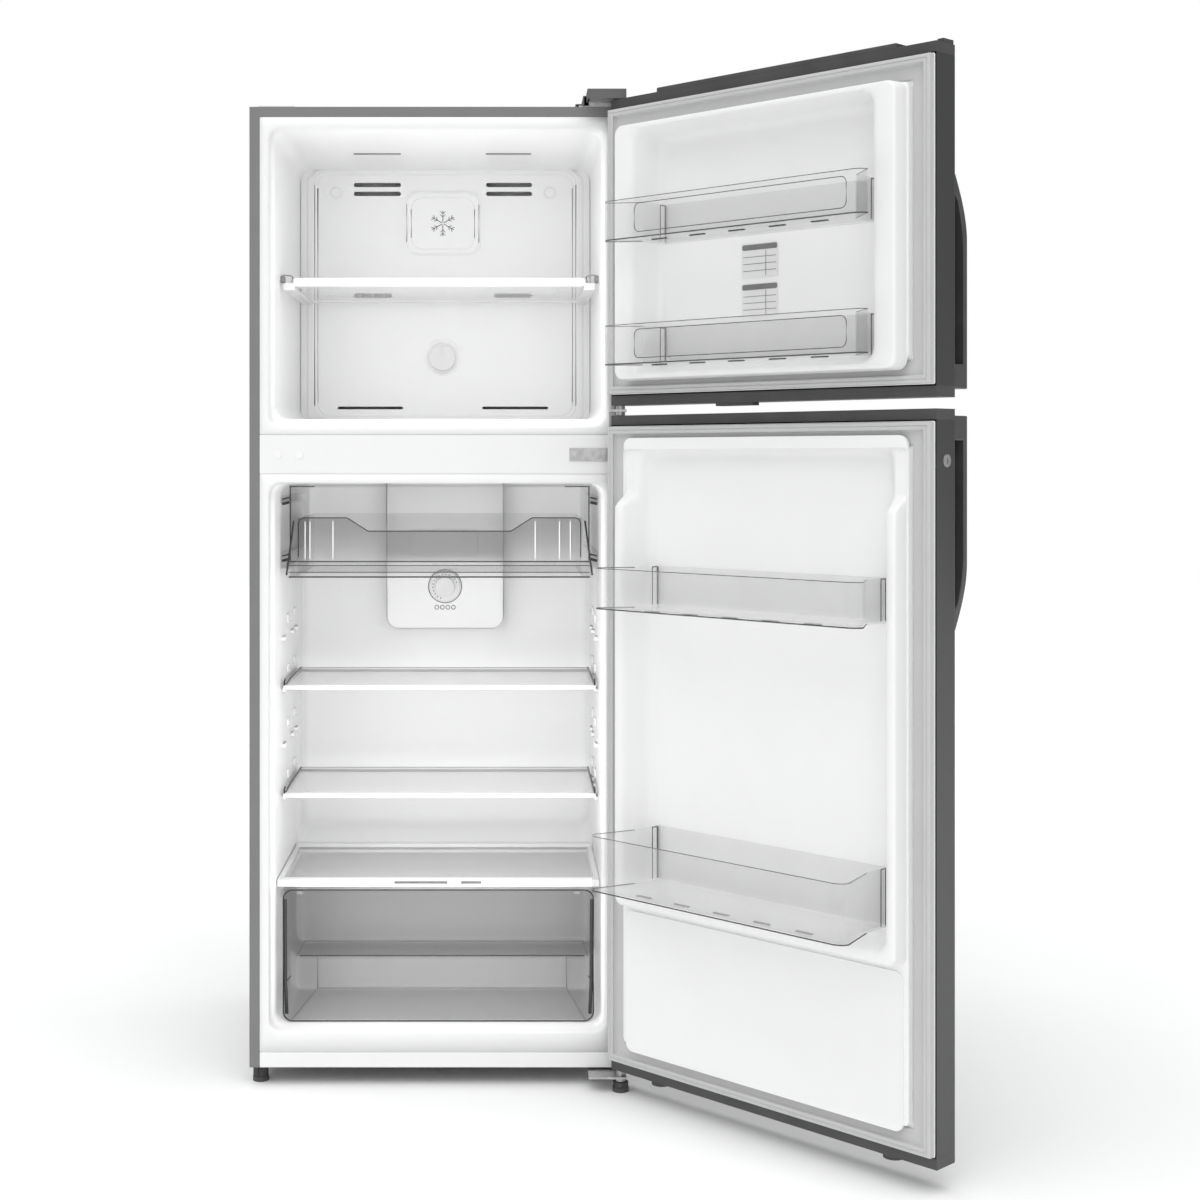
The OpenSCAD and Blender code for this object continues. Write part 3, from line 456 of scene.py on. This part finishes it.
# ---------------------------------------------------------------- fittings in the freezer
def snowflake(form, x, y, z, r):
    """Six arms with two pairs of side twigs, drawn with thin bars."""
    for i in range(6):
        turn = math.radians(90 + 60 * i)
        arm = Vector((math.cos(turn), 0, math.sin(turn)))
        middle = Vector((x, y, z))
        form.rod(middle + arm * 2, middle + arm * r, 0.7, 8, 0.2)
        for reach in (0.5, 0.75):
            for side in (-45, 45):
                twig = Vector((math.cos(turn + math.radians(side)), 0, math.sin(turn + math.radians(side))))
                foot = middle + arm * r * reach
                form.rod(foot, foot + twig * r * 0.28, 0.6, 8, 0.2)


def ring_points(x, y, z, r, start=0, sweep=360, steps=48):
    """Points round an upright circle at the depth y."""
    return [(px, y, pz) for px, pz in arc(x, z, r, start, sweep, steps)]


def freezer_back():
    """The moulding round the evaporator cover, its badge, dial ring, screw plugs and the liner's ribs."""
    low, high = box_mm("evaporator_cover")
    y = low.y + 3
    middle = (low.x + high.x) / 2
    half = (high.x - low.x) / 2
    edge = Form().band(-ROOM_HALF + 1, low.z - 9, ROOM_HALF - 1, high.z + 1, 24, [
        (0, 431), (0, y + 6), (2, y + 4), (12, y + 3), (14, y + 1), (16, y + 0.6), (26, y + 0.6), (26, 431)])
    piece("evaporator_surround", edge, WHITE, "cabinet")
    lines = Form()
    for inset in (6, 12):
        outline = rounded(middle - half + inset, low.z + inset, middle + half - inset, high.z - inset, 24)
        lines.bead([(x, y, z) for x, z in outline], 1.0, wrap=True)
    badge_low, badge_high = 1368, 1482
    for inset in (3, 11):
        outline = rounded(middle - 72 + inset, badge_low + inset, middle + 64 - inset, badge_high - inset, 20)
        lines.bead([(x, low.y, z) for x, z in outline], 1.1, wrap=True)
    dial_low, dial_high = box_mm("freezer_dial")
    dial_x, dial_z = (dial_low.x + dial_high.x) / 2, (dial_low.z + dial_high.z) / 2
    lines.bead(ring_points(dial_x, low.y + 1, dial_z, 28), 1.0, wrap=True)
    lines.bead(ring_points(dial_x, y, dial_z, 35, 25, 110), 0.8)
    for x in (-197, 189):
        lines.bead(ring_points(x, y, 1481, 11, steps=32), 0.9, wrap=True)
        lines.rod((x, y + 2, 1481), (x, y - 1.2, 1481), 8.4, 32)
    for i in range(6):
        x = 67.5 * (i - 2.5) - 4
        lines.block((x - 8, 340, low.z - 6), (x + 8, 384, low.z + 3), 2.5)
    piece("freezer_back_lines", lines, WHITE, "cabinet")
    marks = Form()
    snowflake(marks, middle - 4, low.y - 0.2, (badge_low + badge_high) / 2, 23)
    # Two grey strips in the ceiling slits: painted shade. The snowflake above is print.
    for x0, x1 in ((-152, -71), (75, 153)):
        marks.block((x0, 226, 1523), (x1, 236, 1525.5), 0.5)
    piece("freezer_print_and_slit_shade", marks, LINE_GREY, "cabinet")


def freezer_clips():
    """The hooked clips on the side walls that hold the freezer shelf's front corners."""
    clips = Form()
    for side in (-1, 1):
        x0, x1 = wall_span(side, 7)
        clips.block((x0, 104, 1291), (x1, 124, 1303), 2)
        hook = [(258, 103, 1303), (245, 102, 1302), (242, 102, 1300), (244, 102, 1291)]
        clips.bead([(side * x, y, z) for x, y, z in hook], 1.2)
    piece("freezer_shelf_clips", clips, EDGE_SOFT, "cabinet")


# ---------------------------------------------------------------- fittings in the fridge
def duct_marks():
    """The ring and dots round the thermostat, the four small setting marks below it, and a painted shadow
    line round the cover's sides and bottom.
    """
    low, high = box_mm("duct_cover")
    dial_low, dial_high = box_mm("thermostat_dial")
    x, z = (dial_low.x + dial_high.x) / 2, (dial_low.z + dial_high.z) / 2
    marks = Form()
    marks.bead(ring_points(x, low.y - 0.2, z, 30), 0.8, wrap=True)
    for px, py, pz in ring_points(x, dial_low.y + 7.6, z, 22, 20, 230, 14):
        marks.rod((px, py + 1, pz), (px, py, pz), 1.2, 8)
    for i in (-1.5, -0.5, 0.5, 1.5):
        marks.bead(ring_points(x + i * 10, low.y - 0.2, z - 38, 3.6, steps=12), 0.7, wrap=True)
    piece("duct_marks", marks, LINE_GREY, "cabinet")
    # Painted shadow: a grey bead down both sides of the duct cover and round its bottom corners.
    x0, x1, corner = low.x + 1, high.x - 1, 21
    rim = [(x0, high.z - 2)] + arc(x0 + corner, low.z + 1 + corner, corner, 180)
    rim += arc(x1 - corner, low.z + 1 + corner, corner, 270) + [(x1, high.z - 2)]
    edge = Form().bead([(x, low.y + 1, z) for x, z in rim], 1.6)
    piece("duct_edge_shadow_line", edge, DUCT_SHADOW_GREY, "cabinet")


def chiller_lines():
    """The edges that show in the clear chiller: hood, drawer top and fascia as near-black painted shade, and
    white ribs.
    """
    hood_low, hood_high = box_mm("chiller_hood")
    dark = Form()
    for side in (-1, 1):
        x = side * (hood_high.x - 16)
        dark.bead([(x, hood_low.y - 0.2, hood_low.z + 26), (x, hood_low.y - 0.2, hood_high.z - 1)], 1.0)
        corner = (x, hood_low.y + 1, hood_high.z - 2)
        dark.bead([corner, (x - side * 40, hood_low.y + 1, hood_high.z - 2)], 0.8)
        wall = side * (hood_high.x - 2)
        for z in (hood_low.z + 28, hood_high.z - 28):
            dark.rod((x + side * 2, hood_low.y + 4, z), (wall, hood_low.y + 4, z - 3), 2.4, 10, 0.8)
            dark.rod((x + side * 2, hood_low.y + 4, z + 8), (wall, hood_low.y + 4, z + 5), 1.4, 10, 0.6)
    piece("chiller_hood_lines", dark, EDGE_SHADE, "cabinet")
    low, high = box_mm("chiller_drawer")
    top, y = high.z + 0.4, low.y + 9
    edge = Form()
    dip = [(233, low.z + 34), (233, top - 9), (231, top - 3), (225, top), (153, top), (118, top - 22)]
    path = [(-x, y, z) for x, z in dip] + [(x, y, z) for x, z in reversed(dip)]
    edge.bead(path, 0.9)
    for side in (-1, 1):
        edge.rod((side * 252, y - 6, low.z + 4), (side * 240, y - 6, high.z - 4), 1.6, 10, 0.6)
    piece("chiller_edges", edge, EDGE_SHADE, "chiller_drawer")
    fascia = Form()
    for height, r in ((1.2, 1.3), (9, 0.7), (20, 0.7), (26.5, 1.1)):
        ends = [(x, low.y - 0.1 + r, low.z + height) for x in (-248, 248)]
        fascia.bead(ends, r)
    piece("chiller_fascia_lines", fascia, EDGE_SHADE, "chiller_drawer")
    ribs = Form()
    for x in (-222, -214, -176, 158, 198, 216):
        ribs.bead([(x, y, low.z + 30), (x, y, top - 6)], 0.8)
    piece("chiller_ribs", ribs, WHITE, "chiller_drawer")


def crisper_lines():
    """The edges that show in the clear crisper drawer, all as painted shade: dark sides, its inner step and
    its floor.
    """
    low, high = box_mm("crisper_drawer")
    y = low.y + 0.8
    step_y, step_z, back_y = 236, 145, 334
    outline = rounded(-251.5, low.z + 1, 251.5, high.z - 0.8, 15)
    rim = Form().bead([(x, y, z) for x, z in outline], 1.1, wrap=True)
    for side in (-1, 1):
        rim.bead([(side * 249, y, high.z - 16), (side * 248, y, step_z), (side * 246, y, low.z + 13)], 3.0)
    rim.bead([(-245, step_y, step_z), (245, step_y, step_z)], 1.1)
    for side in (-1, 1):
        rim.bead([(side * 252, y + 12, step_z - 1), (side * 246, step_y - 130, step_z)], 1.1)
    piece("crisper_edges", rim, EDGE_SHADE, "crisper_drawer")
    # Painted shade: mid-grey lines for the crisper's inner step, floor and back edge seen through its clear
    # walls.
    inner = Form()
    floor_z, half = low.z + 3, 214
    floor_line = [(-238, y + 4), (-half, step_y - 3), (half, step_y - 3), (238, y + 4)]
    inner.bead([(fx, fy, floor_z) for fx, fy in floor_line], 0.8)
    for side in (-1, 1):
        inner.bead([(side * half, step_y - 3, floor_z), (side * half, step_y - 3, step_z - 1)], 0.8)
        inner.bead([(side * 250, step_y, step_z), (side * 246, back_y, step_z)], 0.8)
    inner.bead([(-248, back_y, step_z), (248, back_y, step_z)], 0.8)
    for x in (-225, 225):
        inner.block((x - 5, y + 1, high.z - 8), (x + 5, y + 8, high.z - 2), 0.8)
    piece("crisper_inner_lines", inner, EDGE_SOFT, "crisper_drawer")


def shelf_edges():
    """Near-black painted shade on the two glass shelves: raked side edges, hooks, and the thin line along
    their backs.
    """
    low, high = box_mm("fridge_shelf_trims")
    edges = Form()
    front, back = low.y + 0.7, high.y - 3
    for top in SHELF_TOPS:
        for side in (-1, 1):
            x = side * 256.5
            edges.bead([(x, low.y + 1, top - 4), (x, 200, top - 1.2), (x, high.y - 4, top - 1.2)], 1.7)
            edges.bead([(x, low.y + 2, top - 8), (x, low.y + 3, top + 3), (x, low.y + 14, top + 6)], 1.5)
        edges.bead([(-255, back, top - 2), (255, back, top - 2)], 0.9)
        edges.bead([(-255, front, top - 9.4), (255, front, top - 9.4)], 0.8)
    piece("shelf_edges", edges, EDGE_SHADE, "cabinet")


# ---------------------------------------------------------------- doors
def door_liner(name, body, span, ring, recess, nodes, cuts=(), lower_from=None):
    """A door's inner liner: flat sheet, low foot, tall ring and sunken panel.

    ring is the bottom and top of the tall part, recess of the sunken panel with its half width.
    Above lower_from the ring sinks just below its foot, where it faces the bar between the rooms.
    """
    low, high = span
    foot = HALF - FOOT_IN
    half, z0, z1 = recess
    form = Form().panel([
        (DOOR_BACK, -HALF + 2, low + 2, HALF - 2, high - 2, 2, 0),
        (DOOR_BACK, -foot, low + FOOT_IN, foot, high - FOOT_IN, 8, 2),
        (FOOT_Y, -foot + 1, low + FOOT_IN + 1, foot - 1, high - FOOT_IN - 1, 8, 2),
        (FOOT_Y, -RING_HALF - 2, ring[0] - 1, RING_HALF + 2, ring[1] + 1, 13, 2),
        (RING_Y, -RING_HALF, ring[0] + 1, RING_HALF, ring[1], 14, 5),
        (RING_Y, -half, z0, half, z1, 22, 9),
        (RECESS_Y, -half + 17, z0 + 10, half - 17, z1 - 9, 26, 15),
        (RECESS_Y, -half + 90, z0 + 90, half - 90, z1 - 90, 20, 0),
    ], cuts)
    if lower_from:
        fade_over = 30
        sunk = FOOT_Y - 2.5
        for i, (x, y, z) in enumerate(form.points):
            if y > FOOT_Y and z > lower_from:
                keep = max(0.0, 1 - (z - lower_from) / fade_over)
                keep = keep * keep * (3 - 2 * keep)
                form.points[i] = (x, sunk + (y - sunk) * keep, z)
    form.faces = [tuple(reversed(face)) for face in form.faces]
    piece(name, form, DOOR_LINER, body, nodes, SKIN * 0.9)


SEAL_PROFILE = [                          # inset from the door's edge, and depth
    (3, -13), (3, -9), (2.6, -6), (3.4, -3.2), (5, -2.4), (7.5, -2.3), (8.6, -3.6), (9.8, -2.4),
    (12.5, -2.3), (14.2, -3.4), (14.2, -7), (15.5, -9.2), (17, -9.6), (33, -9.6), (34, -10.5), (34, -13)]


def door_seal(name, body, span, node):
    """The magnetic gasket: a ribbed bellows round the edge and a flat band inside it."""
    form = Form().band(-HALF, span[0], HALF, span[1], 4, SEAL_PROFILE)
    piece(name, form, GASKET, body, [node], sharp=30)


def bin_outline(size, z, g):
    """Plan of a bin, shrunk by g: narrow between the ring's walls and flared to round front corners.

    size is a bin's half width at the back and at the front, the depth of its front, and its height.
    """
    back_half, front_half, front, _ = size
    r = 18
    points = [(back_half - g, RECESS_Y + 1 + g), (back_half + 2.5 - g, RING_Y + 1)]
    points += arc(front_half - r, front - r, r - g, 10, 80)
    points += arc(-front_half + r, front - r, r - g, 90, 80)
    points += [(-back_half - 2.5 + g, RING_Y + 1), (-back_half + g, RECESS_Y + 1 + g)]
    return [(x, y, z) for x, y in points]


def clear_bin(form, size, z):
    """One bin as a closed shell: soft bottom edge, thin wall and a thicker lip."""
    top = z + size[-1]
    wall = 2.2
    loops = [bin_outline(size, h, g) for h, g in (
        (z, 3), (z + 0.8, 1), (z + 3, 0.3), (top - 6, 0.3), (top - 5, 0), (top - 0.6, 0), (top, 0.5),
        (top, wall + 0.2), (top - 0.6, wall + 0.5), (z + 5, wall + 0.5), (z + wall, wall + 3))]
    form.loft(loops, first_cap=True, last_cap=True)


def bin_edges(form, size, z):
    """The darker parts that a clear bin shows: feet below and end brackets, with its bottom and top lines in
    painted shade.
    """
    back_half, _, front, height = size
    top = z + height
    for i in range(-2, 3):
        x = i * 74
        form.block((x - 14, front - 34, z - 1.6), (x + 14, front - 29, z + 0.6), 0.5)
    form.bead([(x, y, z + 1.2) for x, y, _ in bin_outline(size, 0, 1.1)][1:-1], 1.0)
    form.bead([(x, y, top - 0.6) for x, y, _ in bin_outline(size, 0, 0.9)][1:-1], 0.6)
    for side in (-1, 1):
        x = side * (back_half - 0.8)
        for y, r in ((RECESS_Y + 3, 1.4), (RECESS_Y + 15, 0.8)):
            form.bead([(x, y, z + 3), (x, y, top - 2)], r)
        form.bead([(x, RECESS_Y + 3, top - 1.5), (x, RECESS_Y + 15, top - 1.5)], 0.9)


def front_frame(form, size, z):
    """The raised rounded rectangle on a bin's front panel, which stops short at the hinge side."""
    _, front_half, front, height = size
    # Drawn in the bins' part-clear grey: painted shade for the raised line's dark look.
    outline = rounded(-front_half + 26, z + 9, front_half - 70, z + height - 9, 9)
    form.bead([(x, front - 0.6, level) for x, level in outline], 0.6, wrap=True)


TOP_BIN = (196, 241, 74, 61)
MID_BIN = (212, 245, 90, 63)
LOW_BIN = (212, 235, 109, 84)


def bins(body, rows, node, framed):
    """All the bins of one door, and the pieces of their edges. framed adds each front's raised line."""
    shells, edges = Form(), Form()
    for size, z in rows:
        clear_bin(shells, size, z)
        bin_edges(edges, size, z)
        if framed:
            front_frame(edges, size, z)
    piece(f"{body}_bins", shells, CLEAR, body, [node])
    piece(f"{body}_bin_edges", edges, CLEAR_EDGE, body)


def label(paper, ink, x0, z0, x1, z1):
    """A plain information label: pale paper with a grey heading, ruled rows and one ruled column."""
    heading, rows, column, line = z1 - 9, 4, x0 + 22, 0.4
    front, back = RECESS_Y + 1.4, RECESS_Y + 0.6
    paper.slab(x0, z0, x1, z1, 3, RECESS_Y + 1.2, RECESS_Y - 0.4, 0.2)
    ink.slab(x0 + 1, heading, x1 - 1, z1 - 1, 3, RECESS_Y + 1.5, back, 0.2)
    for i in range(1, rows):
        z = z0 + (heading - z0) * i / rows
        ink.slab(x0 + 3, z - line, x1 - 3, z + line, 0.3, front, back, 0.1)
    ink.slab(column - line, z0 + 2, column + line, heading - 1, 0.3, front, back, 0.1)


def door_labels():
    """The two labels in the middle of the freezer door."""
    paper, ink = Form(), Form()
    for low, high in ((1268, 1318), (1211, 1259)):
        label(paper, ink, -21, low, 46, high)
    piece("freezer_door_labels", paper, PALE, "freezer_door")
    piece("freezer_door_label_rules", ink, LINE_GREY, "freezer_door")


def cap_strip():
    """The raised strip along the freezer door's top cap, on the side towards the liner."""
    lug_height = 7
    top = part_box("freezer_door_caps")[1].z / MM - lug_height
    strip = Form().block((-235, -44, top - 1), (205, -15, top + lug_height - 0.5), 1.2)
    piece("freezer_door_cap_strip", strip, CAP_DARK, "freezer_door")


def doors():
    """Everything inside both doors: liners, the raised pad on the lower one, seals and clear bins."""
    door_labels()
    cap_strip()
    door_liner("freezer_door_inside", "freezer_door", UPPER, (1122, 1515), (223, 1131, 1507),
               ["freezer_door_liner", "freezer_door_foam"])
    cuts = [400, 600, 800, 900] + [925 + 5 * i for i in range(7)] + [975]
    door_liner("fridge_door_inside", "fridge_door", LOWER, (308, 1030), (243, 322, 1024),
               ["fridge_door_liner", "fridge_door_foam"], cuts, lower_from=922)
    pad = Form().slab(-256, 78, 256, 297, 14, FOOT_Y + 1.6, FOOT_Y - 1)
    piece("fridge_door_pad", pad, DOOR_LINER, "fridge_door")
    door_seal("freezer_seal", "freezer_door", UPPER, "freezer_door_gasket")
    door_seal("fridge_seal", "fridge_door", LOWER, "fridge_door_gasket")
    bins("freezer_door", [(TOP_BIN, 1142), (TOP_BIN, 1331)], "freezer_door_bins", framed=True)
    bins("fridge_door", [(MID_BIN, 771), (LOW_BIN, 347)], "fridge_door_bins", framed=False)


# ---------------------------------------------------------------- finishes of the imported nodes
def finishes():
    """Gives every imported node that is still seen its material."""
    dress(CABINET_PAINT, 1.0, "cabinet_shell")
    dress(STEEL_GREY, 0.8, "back_panel", "base_pan")
    dress(RIM_PAINT, 0.8, "mullion_cover")
    dress(WHITE, 0.6, "blanking_caps", "plinth")
    dress(WHITE, 1.0, "evaporator_cover")
    dress(WHITE, 0, "duct_cover")
    dress(PALE, 0.6, "thermostat_dial", "freezer_dial", "damper_flap", "fan_blade", "humidity_slider")
    dress(LENS, 0.8, "lamp_lens")
    dress(PALE, 0.5, "freezer_shelf_trim", "fridge_shelf_trims", "crisper_cover_frame")
    dress(GLASS, 0.5, "freezer_shelf_glass", "fridge_shelf_glasses", "crisper_cover_glass")
    dress(SMOKE, 0.6, "chiller_hood", "chiller_drawer", "crisper_drawer")
    dress(ALUMINIUM, 0.2, "evaporator_coil")
    dress(COPPER, 0.3, "condenser_loop")
    dress(ZINC, 0.4, "top_hinge", "middle_hinge", "bottom_hinge", "hinge_screws", "defrost_heater",
          "lock_case", "lock_barrel")
    dress(HINGE_COVER, 1.0, "hinge_cover")
    dress(BLACK_PAINT, 1.0, "compressor", "fan_motor")
    dress(RUBBER, 0.6, "compressor_mounts", "cord_gland", "rear_left_roller", "rear_right_roller")
    dress(CAP_DARK, 0.6, "front_left_foot", "front_right_foot")
    dress(BOARD, 0.6, "drain_pan", "compressor_cover")
    dress(DOOR_STEEL, 1.2, "freezer_door_panel", "fridge_door_panel")
    dress(CAP_DARK, 1.0, "freezer_door_caps", "fridge_door_caps")
    dress(HANDLE, 1.5, "freezer_door_handle", "fridge_door_handle")


# ---------------------------------------------------------------- floor, light and camera
def floor():
    """The plain pale floor, which is a stage and not part of the refrigerator."""
    mesh = bpy.data.meshes.new("floor")
    reach = 12
    mesh.from_pydata([(-reach, -reach, 0), (reach, -reach, 0), (reach, reach, 0), (-reach, reach, 0)], [],
                     [(0, 1, 2, 3)])
    mesh.materials.append(surface("floor_white", 252, 0.7, spread=1, blotch=400, grain=3, depth=0.01))
    made = bpy.data.objects.new("floor", mesh)
    bpy.context.scene.collection.objects.link(made)


def soft_sun(name, heading, spread, strength):
    """An even studio light that shines along heading. spread is how soft its shadows are, in degrees."""
    lamp = bpy.data.lights.new(name, "SUN")
    lamp.angle = math.radians(spread)
    lamp.energy = strength
    made = bpy.data.objects.new(name, lamp)
    made.rotation_euler = Vector(heading).to_track_quat("-Z", "Y").to_euler()
    bpy.context.scene.collection.objects.link(made)


def mouth_light(name, mouth, power):
    """A soft panel across a compartment's mouth that lights only what is behind it."""
    low, high = mouth
    margin = 20
    lamp = bpy.data.lights.new(name, "AREA")
    lamp.shape = "RECTANGLE"
    lamp.size = 2 * (MOUTH_HALF - margin) * MM
    lamp.size_y = (high - low - 2 * margin) * MM
    lamp.energy = power
    made = bpy.data.objects.new(name, lamp)
    made.location = CABINET @ Vector((0, -4, (low + high) / 2))
    made.rotation_euler = (math.radians(90), 0, 0)
    made.visible_camera = False
    bpy.context.scene.collection.objects.link(made)


def white_room():
    """A world that is seen as white, and gives a softer fill."""
    world = bpy.data.worlds.new("studio")
    world.use_nodes = True
    nodes, links = world.node_tree.nodes, world.node_tree.links
    seen = nodes["Background"]
    seen.inputs["Color"].default_value = (1, 1, 1, 1)
    fill = nodes.new("ShaderNodeBackground")
    fill.inputs["Color"].default_value = (0.98, 0.99, 1, 1)
    fill.inputs["Strength"].default_value = 0.36
    path = nodes.new("ShaderNodeLightPath")
    blend = nodes.new("ShaderNodeMixShader")
    links.new(path.outputs["Is Camera Ray"], blend.inputs["Fac"])
    links.new(fill.outputs["Background"], blend.inputs[1])
    links.new(seen.outputs["Background"], blend.inputs[2])
    links.new(blend.outputs["Shader"], nodes["World Output"].inputs["Surface"])
    bpy.context.scene.world = world


def studio():
    """Floor, white surroundings, two soft suns and a soft panel for each compartment."""
    floor()
    white_room()
    soft_sun("front", (0.12, 1, -0.22), 40, 0.3)
    soft_sun("overhead", (0.1, 0.25, -1), 90, 2.6)
    mouth_light("freezer_fill", FREEZER_MOUTH, 0.48)
    mouth_light("fridge_fill", FRIDGE_MOUTH, 1.35)
    bpy.context.scene.view_settings.view_transform = "Standard"


def camera():
    """A level camera three metres in front, which looks straight back and is shifted onto the doors."""
    lens = bpy.data.cameras.new("camera")
    lens.lens = 57
    lens.sensor_width = 36
    lens.shift_x = 0.0792
    lens.shift_y = -0.1167
    made = bpy.data.objects.new("camera", lens)
    made.location = CABINET @ Vector((108.1, -3034, 998))
    made.rotation_euler = (math.radians(90), 0, 0)
    bpy.context.scene.collection.objects.link(made)
    bpy.context.scene.camera = made


camera()
freezer_room()
fridge_room()
shelf_rests()
freezer_back()
freezer_clips()
duct_marks()
chiller_lines()
crisper_lines()
shelf_edges()
doors()
finishes()
studio()
